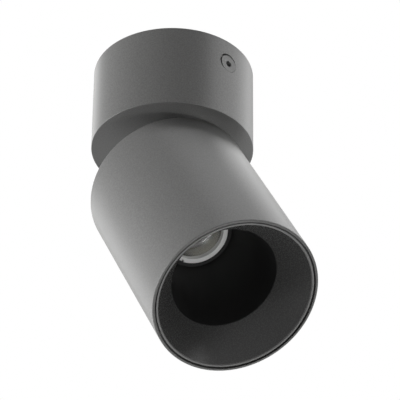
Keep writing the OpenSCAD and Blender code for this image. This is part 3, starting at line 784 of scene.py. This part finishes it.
@dataclass(frozen=True)
class Screw:
    """A sunk socket screw with its face at z = 0 and its point downwards."""

    SOCKET_SHARE: ClassVar[float] = 0.8  # depth of the socket in its own widths
    DRILL_SHARE: ClassVar[float] = 0.8  # radius of the drilled bottom in that of the socket's corners
    DRILL_FALL: ClassVar[float] = 1 / 3  # depth of the drill's point in the same radius
    MOUTH_SHARE: ClassVar[float] = 1.08  # radius of the bevelled mouth in the same radius
    d: float  # diameter of the thread
    head_d: float  # diameter of the head
    length: float  # length below z = 0
    key: float  # width of the socket across its flats
    pitch: float  # pitch of the thread
    land: float  # height of the head's rim
    ease: float  # rounding of the head's edge

    def shape(self) -> Shape:
        """Make the screw with its socket and its thread.

        Returns:
            The shape.
        """
        outer = self.head_d / 2
        inner = self.d / 2
        neck = -self.land - (outer - inner)
        body = Shape.lathe(rounded([
            (0, neck - self.pitch, 0), (inner, neck - self.pitch, 0), (inner, neck, 0),
            (outer, -self.land, 0), (outer, 0, self.ease), (0, 0, 0)]), FINE_STEPS)
        bottom = -self.key * self.SOCKET_SHARE
        corner = self.key / math.sqrt(3)
        drill = [(0, bottom - corner * self.DRILL_FALL), (corner * self.DRILL_SHARE, bottom + OVERLAP),
                 (0, bottom + 2 * OVERLAP)]
        mouth_r = corner * self.MOUTH_SHARE
        mouth = [(0, -mouth_r / 2), (mouth_r, 0), (mouth_r + OVERRUN, OVERRUN), (0, OVERRUN)]
        body.cut(Shape.prism(hexagon(self.key), bottom, OVERRUN), Shape.lathe(drill, FINE_STEPS),
                 Shape.lathe(mouth, FINE_STEPS))
        return body.with_also(Shape.threaded(self.d, -self.length, neck - self.pitch / 2, self.pitch))

    def at(self, places: Iterable[Matrix]) -> Shape:
        """Make the screw at each place, as one shape."""
        first, *others = self.shape().copies(places)
        return first.with_also(*others)


class Assembly:
    """A body of the spotlight: it builds pieces that replace nodes and dresses the other nodes."""

    body: ClassVar[Body]
    DRESSED: ClassVar[Dressing]  # each node's finish and the width of the bevel on its edges
    WELD: ClassVar[float] = 0.001  # points of a node nearer than this become one

    def matrix(self) -> Matrix:
        """Give the place of the body's own axes, in millimetres."""
        return Matrix.Identity(4)

    def pieces(self) -> None:
        """Build the pieces that replace nodes of this body."""

    def build(self) -> None:
        """Build the body's pieces and dress its nodes."""
        self.pieces()
        for node, (look, ease) in self.DRESSED.items():
            self.dress(node, look, ease)

    def add(self, name: str, node: str, look: Look, shape: Shape, own_axes: bool = False) -> bpy.types.Object:
        """Make a piece that stands for a node.

        Args:
            name: Name of the piece.
            node: The node that it replaces.
            look: Its finish.
            shape: Its shape, in the body's own axes.
            own_axes: Whether the piece keeps those axes, round which turned lines run.

        Returns:
            The piece.
        """
        if not own_axes:
            shape.moved(self.matrix())
        shape.moved(Matrix.Scale(MM, 4))
        for face in shape.mesh.faces:
            face.smooth = True
        for edge in shape.mesh.edges:
            if len(edge.link_faces) == 2 and edge.calc_face_angle(0.0) > math.radians(SHARP_ANGLE):
                edge.smooth = False
        piece = bpy.data.objects.new(name, shape.to_mesh(name))
        bpy.context.scene.collection.objects.link(piece)
        if own_axes:
            place = self.matrix()
            place.translation *= MM
            piece.matrix_world = place
        piece.data.materials.append(look.value.material())
        self.even(piece)
        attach(piece, self.body.value)
        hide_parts(node)
        LOG.info("piece %s: %d faces", name, len(piece.data.polygons))
        return piece

    def dress(self, node: str, look: Look, ease: float) -> None:
        """Give a node its finish and ease its edges.

        Args:
            node: The node.
            look: Its finish.
            ease: Width of the bevel on its edges in millimetres.
        """
        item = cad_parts[node]
        item.data.materials.clear()
        item.data.materials.append(look.value.material())
        weld = item.modifiers.new("weld", "WELD")
        weld.merge_threshold = self.WELD * MM
        bevel = item.modifiers.new("ease", "BEVEL")
        bevel.width = ease * MM
        bevel.segments = BEVEL_STEPS
        bevel.limit_method = "ANGLE"
        bevel.angle_limit = math.radians(SHARP_ANGLE)
        self.even(item)
        LOG.info("node %s: %s", node, look.name.lower())

    @staticmethod
    def even(item: bpy.types.Object) -> None:
        """Weight the normals of a piece by the area of its faces.

        Args:
            item: The piece.
        """
        weighted = item.modifiers.new("even", "WEIGHTED_NORMAL")
        weighted.mode = "FACE_AREA"
        weighted.keep_sharp = True


@dataclass
class Canopy(Assembly):
    """The canopy on the ceiling, with the plate and the driver that it hides."""

    body: ClassVar[Body] = Body.CANOPY
    DRESSED: ClassVar[Dressing] = {
        "ceiling_plate": (Look.ZINC, 0.2),
        "terminal_block": (Look.NYLON, 0.4),
        "terminal_screws": (Look.ZINC, 0.1),
        "terminal_fixing_screw": (Look.ZINC, 0.15),
        "earth_screw": (Look.BRASS, 0.15),
        "driver_bridge": (Look.ZINC, 0.15),
        "bridge_screws": (Look.ZINC, 0.15),
        "driver_case": (Look.NYLON, 0.3),
        "driver_lid": (Look.NYLON, 0.3),
        "driver_board": (Look.BOARD, 0.1),
        "driver_screws": (Look.ZINC, 0.15),
        "stop_pin": (Look.SPRING, 0.15),
    }
    turn: float = 5.5
    radius: float = 40.0
    height: float = 45.6
    wall: float = 4.0
    floor: float = 4.0
    edge: float = 0.3
    inner_edge: float = 0.2
    inner_corner: float = 1.0
    hole_edge: float = 0.12
    stem_hole_d: float = 10.2
    screw: Screw = Screw(d=5.0, head_d=9.5, length=10.21, key=3.0, pitch=0.8, land=0.3, ease=0.2)
    screw_sides: Span = (0.0, 180.0)
    screw_drop: float = 13.2
    screw_sink: float = 0.3
    screw_fit: float = 0.05
    screw_gap: float = 0.45
    screw_moat: float = 1.2
    screw_shift: Span = (0.12, 0.4)
    bridge_screw_x: float = 30.857
    bridge_screw_d: float = 3.1
    bridge_screw_depth: float = 2.4
    pin_r: float = 14.0
    pin_d: float = 4.1
    pin_depth: float = 2.5
    grommet_d: float = 18.0
    grommet_bore_d: float = 14.8
    grommet_lip: float = 1.5
    grommet_lip_t: float = 1.2
    grommet_lip_edge: float = 0.55
    grommet_bore_edge: float = 0.5
    grommet_edge: float = 0.3
    plate_t: float = 2.0

    def matrix(self) -> Matrix:
        """Give the turn of the canopy."""
        return turned(self.turn)

    def side_places(self) -> list[Matrix]:
        """Give the places of the two side screws' faces."""
        face = shifted(self.radius - self.screw_sink, 0, -self.screw_drop) @ turned(90, "Y")
        return [turned(side) @ face for side in self.screw_sides]

    def drill(self, across: float, d: float, depth: float) -> Shape:
        """Make the cutter of a blind hole in the floor, at a place along X."""
        top = self.floor - self.height
        return Shape.prism(circle(d / 2, SMALL_STEPS, across), top - depth, top + OVERRUN)

    def shell(self) -> Shape:
        """Make the canopy's shell with the holes in its wall and floor.

        Returns:
            The shape.
        """
        bore = self.radius - self.wall
        floor_z = self.floor - self.height
        hole = self.stem_hole_d / 2
        shell = Shape.lathe(rounded([
            (hole, -self.height, self.inner_edge), (self.radius, -self.height, self.edge),
            (self.radius, 0, self.edge), (bore, 0, self.inner_edge), (bore, floor_z, self.inner_corner),
            (hole, floor_z, self.inner_edge)]))
        head = self.screw.head_d / 2
        shank = self.screw.d / 2 + self.screw_fit
        moat = head + self.screw_gap
        top = self.screw_sink + OVERRUN
        sunk = Shape.lathe([(0, -self.wall - OVERRUN), (shank, -self.wall - OVERRUN),
                            (shank, shank - head - self.screw.land),
                            (head + self.screw.land - self.screw_moat, -self.screw_moat),
                            (moat, -self.screw_moat), (moat, top), (0, top)], MEDIUM_STEPS)
        shell.cut(*sunk.copies(self.side_places()))
        for side in (-1, 1):
            shell.cut(self.drill(side * self.bridge_screw_x, self.bridge_screw_d, self.bridge_screw_depth))
        shell.cut(self.drill(-self.pin_r, self.pin_d, self.pin_depth).moved(turned(-self.turn)))
        return shell.eased(self.hole_edge)

    def screws(self) -> Shape:
        """Make the two side screws, which sit a little beside the middle of their holes."""
        return self.screw.at(place @ shifted(*self.screw_shift) for place in self.side_places())

    def grommet(self) -> Shape:
        """Make the rubber sleeve of the plate's cable hole.

        Returns:
            The shape.
        """
        low = -self.plate_t - self.grommet_lip_t
        bore = self.grommet_bore_d / 2
        neck = self.grommet_d / 2
        lip = neck + self.grommet_lip
        return Shape.lathe(rounded([
            (bore, low, self.grommet_bore_edge), (lip, low, self.grommet_lip_edge),
            (lip, -self.plate_t, self.grommet_edge), (neck, -self.plate_t, 0), (neck, 0, self.grommet_edge),
            (bore, 0, self.grommet_bore_edge)]), MEDIUM_STEPS)

    def pieces(self) -> None:
        """Build the canopy's shell, its side screws and the plate's grommet."""
        self.add("canopy_shell_finish", "canopy_shell", Look.COAT, self.shell())
        self.add("canopy_screws_finish", "canopy_screws", Look.COAT, self.screws())
        self.add("plate_grommet_finish", "plate_grommet", Look.RUBBER, self.grommet())


@dataclass
class Swivel(Assembly):
    """The stem that turns in the canopy's floor, with its washers and nut."""

    body: ClassVar[Body] = Body.SWIVEL
    DRESSED: ClassVar[Dressing] = {
        "swivel_stem": (Look.COAT, 0.25),
        "outer_washer": (Look.NYLON, 0.15),
        "inner_washer": (Look.NYLON, 0.15),
        "spring_washer": (Look.SPRING, 0.05),
        "stop_washer": (Look.ZINC, 0.15),
        "swivel_nut": (Look.ZINC, 0.25),
    }


@dataclass
class Head(Assembly):
    """The head on its tilt axis, with its tube, bracket, cone and baffle.

    Heights are measured from the tilt axis, along the head, with the mouth below.
    """

    body: ClassVar[Body] = Body.HEAD
    DRESSED: ClassVar[Dressing] = {
        "baffle_seal": (Look.RUBBER, 0.2),
        "heat_sink": (Look.ALUMINIUM, 0.15),
        "tilt_bracket": (Look.SPRING, 0.3),
        "bracket_screws": (Look.ZINC, 0.25),
        "friction_washers": (Look.NYLON, 0.05),
        "tilt_screw": (Look.ZINC, 0.25),
        "tilt_nut": (Look.ZINC, 0.25),
        "wire_grommet": (Look.RUBBER, 0.3),
    }
    LIP_HIGHLIGHT_MARGIN: ClassVar[float] = 0.15  # how far the lip's painted highlight reaches past it
    lean: float = 31.0
    axis_z: float = -71.7
    radius: float = 40.0
    top: float = 4.2
    length: float = 103.0
    wall: float = 2.6
    cap: float = 3.0
    top_round: float = 1.0
    edge_steps: int = 6
    fine_edge: float = 0.1
    inner_edge: float = 0.2
    mouth_wall: float = 1.2
    mouth_edge: float = 0.6
    neck_d: float = 42.0
    neck_edge: float = 0.4
    shoulder: float = -80.0
    screw: Screw = Screw(d=4.0, head_d=8.0, length=10.0, key=2.5, pitch=0.7, land=0.2, ease=0.15)
    screw_angles: tuple[float, ...] = (60.0, 180.0, 300.0)
    screw_r: float = 29.2
    screw_sink: float = 0.2
    fit: float = 0.05
    cone_depth: float = 17.3
    cone_wall: float = 1.6
    throat_r: float = 25.65
    throat_edge: float = 0.15
    lip_w: float = 1.8
    lip_inset: float = 0.5
    lip_drop: float = 0.6
    lip_flat: float = 0.3
    lip_edge: float = 0.12
    lip_groove: float = 0.7
    lip_groove_depth: float = 1.3
    skirt_wall: float = 1.2
    baffle_wall: float = 1.2
    baffle_top_r: float = 17.2
    baffle_bend: float = 0.3
    barrel_r: float = 21.0
    lens_front: float = -41.3

    def matrix(self) -> Matrix:
        """Give the place of the tilt axis and the head's lean."""
        return shifted(z=self.axis_z) @ turned(-self.lean, "Y")

    @property
    def mouth(self) -> float:
        """Give the height of the mouth."""
        return self.top - self.length

    @property
    def skirt(self) -> float:
        """Give the outer radius of the cone's skirt and lip."""
        return self.radius - self.mouth_wall - self.fit

    def screw_places(self) -> list[Matrix]:
        """Give the places of the three screws in the top."""
        face = shifted(self.screw_r, 0, self.top - self.screw_sink)
        return [turned(angle) @ face for angle in self.screw_angles]

    def tube(self) -> Shape:
        """Make the head's tube with the holes in its top.

        Returns:
            The shape.
        """
        bore = self.radius - self.wall
        mouth_bore = self.radius - self.mouth_wall
        inner_top = self.top - self.cap
        neck = self.neck_d / 2
        tube = Shape.lathe(rounded([
            (self.radius, self.mouth, self.mouth_edge), (self.radius, self.top, self.top_round),
            (neck, self.top, self.neck_edge), (neck, inner_top, self.fine_edge),
            (bore, inner_top, self.inner_edge), (bore, self.shoulder, 0),
            (mouth_bore, self.shoulder, 0), (mouth_bore, self.mouth, self.inner_edge)], self.edge_steps))
        head = self.screw.head_d / 2 + self.fit
        shank = self.screw.d / 2 + self.fit
        top = self.screw_sink + OVERRUN
        sunk = Shape.lathe([(0, -self.cap - OVERRUN), (shank, -self.cap - OVERRUN),
                            (shank, shank - head - self.screw_sink), (head, -self.screw_sink),
                            (head, top), (0, top)], FINE_STEPS)
        tube.cut(*sunk.copies(self.screw_places()))
        return tube.eased(self.fine_edge)

    def top_screws(self) -> Shape:
        """Make the three sunk screws of the top."""
        return self.screw.at(self.screw_places())

    def cone(self) -> Shape:
        """Make the cone with its lip and the skirt that screws into the mouth.

        Returns:
            The shape.
        """
        lip = self.skirt - self.lip_w
        slope = (lip - self.throat_r) / (self.cone_depth - self.lip_inset - self.lip_drop)
        inside = self.skirt - self.skirt_wall
        back = self.throat_r + self.cone_wall
        meet = self.cone_depth - (inside - back) / slope
        groove = self.skirt - self.lip_groove
        face = self.lip_inset
        step = face + self.lip_groove_depth
        edge = self.inner_edge
        return Shape.lathe(rounded([
            (lip, face + self.lip_drop, self.lip_edge), (lip + self.lip_flat, face, self.lip_edge),
            (groove, face, self.lip_edge), (groove, step, 0), (self.skirt, step, self.fine_edge),
            (self.skirt, self.cone_depth, edge), (inside, self.cone_depth, edge), (inside, meet, edge),
            (back, self.cone_depth, edge), (self.throat_r, self.cone_depth, self.throat_edge)])
        ).moved(shifted(z=self.mouth))

    def paint_lip_highlight(self, cone: bpy.types.Object) -> None:
        """Paint a highlight onto the cone's lip, as a paler copy of its coat.

        Args:
            cone: The cone, in the head's own axes.
        """
        cone.data.materials.append(Look.LIP_PAINTED_HIGHLIGHT.value.material())
        inside = self.skirt - self.lip_w - self.LIP_HIGHLIGHT_MARGIN
        deepest = self.mouth + self.lip_inset + self.lip_drop + self.LIP_HIGHLIGHT_MARGIN
        # Faces on the lip take the paler coat, which paints the highlight.
        for face in cone.data.polygons:
            across, along, height = face.center / MM
            if math.hypot(across, along) > inside and height < deepest:
                face.material_index = 1

    def baffle(self) -> Shape:
        """Make the dark funnel behind the cone.

        Returns:
            The shape.
        """
        front = self.lens_front
        back = front - self.baffle_wall
        foot = self.mouth + self.cone_depth
        return Shape.lathe(rounded([
            (self.baffle_top_r, front, self.fine_edge), (self.barrel_r, front, self.inner_edge),
            (self.barrel_r, back, self.inner_edge),
            (self.baffle_top_r + self.baffle_wall, back, self.baffle_bend),
            (self.throat_r + self.baffle_wall, foot, self.fine_edge), (self.throat_r, foot, self.fine_edge)]))

    def pieces(self) -> None:
        """Build the head's tube, its top screws, its cone and its baffle."""
        self.add("head_tube_finish", "head_tube", Look.COAT, self.tube())
        self.add("heat_sink_screws_finish", "heat_sink_screws", Look.COAT, self.top_screws())
        # The cone takes the darker coat, which paints shade into its inside.
        cone = self.add("antiglare_cone_finish", "antiglare_cone", Look.CONE_PAINTED_SHADE_COAT, self.cone(), own_axes=True)
        self.paint_lip_highlight(cone)
        self.add("baffle_finish", "baffle", Look.BLACK, self.baffle())


@dataclass
class Optic(Head):
    """The light source in the head, with its reflector, lens and ring."""

    DRESSED: ClassVar[Dressing] = {
        "thermal_pad": (Look.PAD, 0.1),
        "led_board": (Look.CERAMIC, 0.1),
        "led_emitter": (Look.PHOSPHOR, 0.1),
        "led_holder": (Look.NYLON, 0.2),
        "holder_screws": (Look.ZINC, 0.2),
        "optic_barrel": (Look.BLACK, 0.2),
        "barrel_screws": (Look.ZINC, 0.2),
    }
    barrel_bore_r: float = 19.1
    ring_front_r: float = 15.35
    ring_clear_r: float = 13.0
    ring_z: float = -39.8
    ring_edge: float = 0.25
    ring_bevel: float = 0.08
    notch_angles: Span = (0.0, 180.0)
    notch_w: float = 3.0
    notch_depth: float = 1.2
    notch_corner: float = 0.3
    lens_z: float = -38.6
    lens_t: float = 2.0
    lens_gap: float = 0.3
    lens_edge: float = 0.25
    holder_z: float = -24.3
    bowl_exit_r: float = 14.6
    bowl_entry_r: float = 7.0
    bowl_wall: float = 1.0
    bowl_flange_t: float = 1.0
    bowl_steps: int = 24

    def ring(self) -> Shape:
        """Make the pale ring that holds the lens, with its notches.

        Returns:
            The shape.
        """
        outer = self.barrel_bore_r - self.fit
        front = self.ring_front_r
        ring = Shape.lathe(rounded([
            (self.ring_clear_r, self.lens_front, self.ring_edge), (front, self.lens_front, self.ring_edge),
            (front, self.ring_z, 0), (outer, self.ring_z, self.fine_edge),
            (outer, self.lens_z, self.fine_edge), (self.ring_clear_r, self.lens_z, self.fine_edge)]))
        half = self.notch_w / 2
        bottom = front - self.notch_depth
        outline = rounded([(bottom, -half, self.notch_corner), (front + OVERRUN, -half, 0),
                           (front + OVERRUN, half, 0), (bottom, half, self.notch_corner)])
        notch = Shape.prism(outline, self.lens_front - OVERRUN, self.ring_z)
        ring.cut(*notch.copies(turned(angle) for angle in self.notch_angles))
        return ring.eased(self.ring_bevel)

    def lens(self) -> Shape:
        """Make the clear lens.

        Returns:
            The shape.
        """
        outer = self.barrel_bore_r - self.lens_gap
        back = self.lens_z + self.lens_t
        return Shape.lathe(rounded([(0, self.lens_z, 0), (outer, self.lens_z, self.lens_edge),
                                    (outer, back, self.lens_edge), (0, back, 0)]))

    def bowl_r(self, share: float) -> float:
        """Give the bowl's inner radius at a share of its height, from its exit up to its entry."""
        return self.bowl_entry_r + (self.bowl_exit_r - self.bowl_entry_r) * math.sqrt(1 - share * share)

    def reflector(self) -> Shape:
        """Make the bright bowl with its flange.

        Returns:
            The shape.
        """
        low = self.lens_z + self.lens_t
        height = self.holder_z - low
        flange_z = low + self.bowl_flange_t
        flange_r = self.barrel_bore_r - self.fit
        shares = [math.sin(math.pi / 2 * i / self.bowl_steps) for i in range(self.bowl_steps + 1)]
        inner = [(self.bowl_r(share), low + height * share) for share in shares]
        outer = [(radius + self.bowl_wall, z) for radius, z in reversed(inner) if z > flange_z]
        flange = [(self.bowl_exit_r + self.bowl_wall, flange_z), (flange_r, flange_z), (flange_r, low)]
        return Shape.lathe(inner + outer + flange)

    def pieces(self) -> None:
        """Build the lens ring, the lens and the reflector."""
        self.add("lens_ring_finish", "lens_ring", Look.SILVER, self.ring(), own_axes=True)
        self.add("lens_finish", "lens", Look.GLASS, self.lens(), own_axes=True)
        self.add("reflector_finish", "reflector", Look.MIRROR, self.reflector(), own_axes=True)


@dataclass(frozen=True)
class Softbox:
    """A square lamp that faces the spotlight. Its lengths are in metres and its power is in watts."""

    name: str
    azimuth: float  # direction from the spotlight, from +X towards +Y
    elevation: float
    power: float
    side: float = 1.0
    distance: float = 2.2

    def place(self, aim: Vector) -> None:
        """Put the lamp in the scene.

        Args:
            aim: The point that it faces.
        """
        data = bpy.data.lights.new(self.name, "AREA")
        data.size = self.side
        data.energy = self.power
        lamp = bpy.data.objects.new(self.name, data)
        lamp.visible_camera = False
        bpy.context.scene.collection.objects.link(lamp)
        azimuth = math.radians(self.azimuth)
        elevation = math.radians(self.elevation)
        way = Vector((math.cos(azimuth) * math.cos(elevation), math.sin(azimuth) * math.cos(elevation),
                      math.sin(elevation)))
        lamp.location = aim + way * self.distance
        lamp.rotation_euler = way.to_track_quat("Z", "Y").to_euler()


@dataclass
class Studio:
    """The camera, the lamps, the pale floor and the white surroundings, with places in metres."""

    azimuth: float = 52.504
    elevation: float = -34.641
    roll: float = 0.622
    distance: float = 1.2788
    lens: float = 233.375  # millimetres
    sensor: float = 36.0  # millimetres
    aim: tuple[float, float, float] = (-0.00169, 0.0189, -0.06614)
    floor_z: float = -3.0
    floor_side: float = 40.0
    floor_parts: int = 8
    floor_colour: Colour = (0.82, 0.82, 0.81)
    floor_grain: float = 60.0  # millimetres
    floor_tint: float = 0.985
    floor_rough: float = 0.9
    floor_gloss: float = 0.1
    floor_white: float = 0.88  # share of plain white that the floor shows
    ambient: float = 0.03  # strength of the light from all round
    lamps: tuple[Softbox, ...] = field(default_factory=lambda: (
        Softbox("left_side", 240.0, 0.0, 44.9),
        Softbox("left_below", 180.0, -60.0, 6.0),
        Softbox("left_back", 180.0, 30.0, 3.8),
        Softbox("back_low", 120.0, -30.0, 10.0),
        Softbox("back_top", 120.0, 60.0, 4.6),
        Softbox("back_right", 90.0, 30.0, 5.0),
        Softbox("right_side", 60.0, 30.0, 5.1),
        Softbox("right_front", 30.0, 30.0, 7.1),
        Softbox("overhead", 0.0, 90.0, 3.3),
        Softbox("mouth_front", 10.0, -50.0, 12.5, side=0.5),
    ))

    @staticmethod
    def seen(tree: Tree) -> Wire:
        """Give 1 where the camera, a gloss or a clear piece looks at the surface, else 0."""
        camera = tree.node("ShaderNodeLightPath", output="Is Camera Ray")
        return camera.most(camera.beside("Is Glossy Ray")).most(camera.beside("Is Transmission Ray"))

    def camera(self) -> None:
        """Place the camera at the photograph's viewing angle."""
        data = bpy.data.cameras.new("camera")
        data.lens = self.lens
        data.sensor_width = self.sensor
        camera = bpy.data.objects.new("camera", data)
        bpy.context.scene.collection.objects.link(camera)
        turn = turned(self.azimuth) @ turned(90 - self.elevation, "X") @ turned(self.roll)
        back = turn @ Vector((0, 0, self.distance))
        camera.matrix_world = Matrix.Translation(Vector(self.aim) + back) @ turn
        bpy.context.scene.camera = camera

    def floor(self) -> None:
        """Lay the pale floor below the camera."""
        mesh = bmesh.new()
        bmesh.ops.create_grid(mesh, x_segments=self.floor_parts, y_segments=self.floor_parts,
                              size=self.floor_side / 2)
        data = bpy.data.meshes.new("floor")
        mesh.to_mesh(data)
        mesh.free()
        floor = bpy.data.objects.new("floor", data)
        floor.location.z = self.floor_z
        bpy.context.scene.collection.objects.link(floor)
        material = bpy.data.materials.new("floor_look")
        tree = Tree(material)
        grain = tree.noise(tree.place(), self.floor_grain, layers=3.0)
        colour = tree.blend(grain, tinted(self.floor_colour, self.floor_tint), self.floor_colour)
        lit = tree.node("ShaderNodeBsdfPrincipled", None, {
            "Base Color": colour, "Roughness": self.floor_rough, "Specular IOR Level": self.floor_gloss})
        white = tree.node("ShaderNodeEmission", None, {"Color": WHITE, "Strength": 1.0})
        share = self.seen(tree) * self.floor_white
        shown = tree.node("ShaderNodeMixShader", None, {0: share, 1: lit, 2: white})
        tree.node("ShaderNodeOutputMaterial", None, {"Surface": shown})
        floor.data.materials.append(material)

    def surroundings(self) -> None:
        """Light the scene evenly, and show white to the camera, to gloss and through glass."""
        world = bpy.data.worlds.new("surroundings")
        bpy.context.scene.world = world
        tree = Tree(world)
        dim = tree.node("ShaderNodeBackground", None, {"Color": WHITE, "Strength": self.ambient})
        white = tree.node("ShaderNodeBackground", None, {"Color": WHITE, "Strength": 1.0})
        both = tree.node("ShaderNodeMixShader", None, {0: self.seen(tree), 1: dim, 2: white})
        tree.node("ShaderNodeOutputWorld", None, {"Surface": both})

    def build(self) -> None:
        """Build the studio."""
        bpy.context.scene.view_settings.view_transform = "Standard"
        self.camera()
        self.floor()
        self.surroundings()
        for lamp in self.lamps:
            lamp.place(Vector(self.aim))


def main() -> None:
    """Build the spotlight and its studio."""
    logging.basicConfig(level=logging.INFO, format="%(name)s: %(message)s")
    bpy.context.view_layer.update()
    for part in (Canopy(), Swivel(), Head(), Optic()):
        part.build()
    Studio().build()
    bpy.context.view_layer.update()


if __name__ == "__main__":
    main()
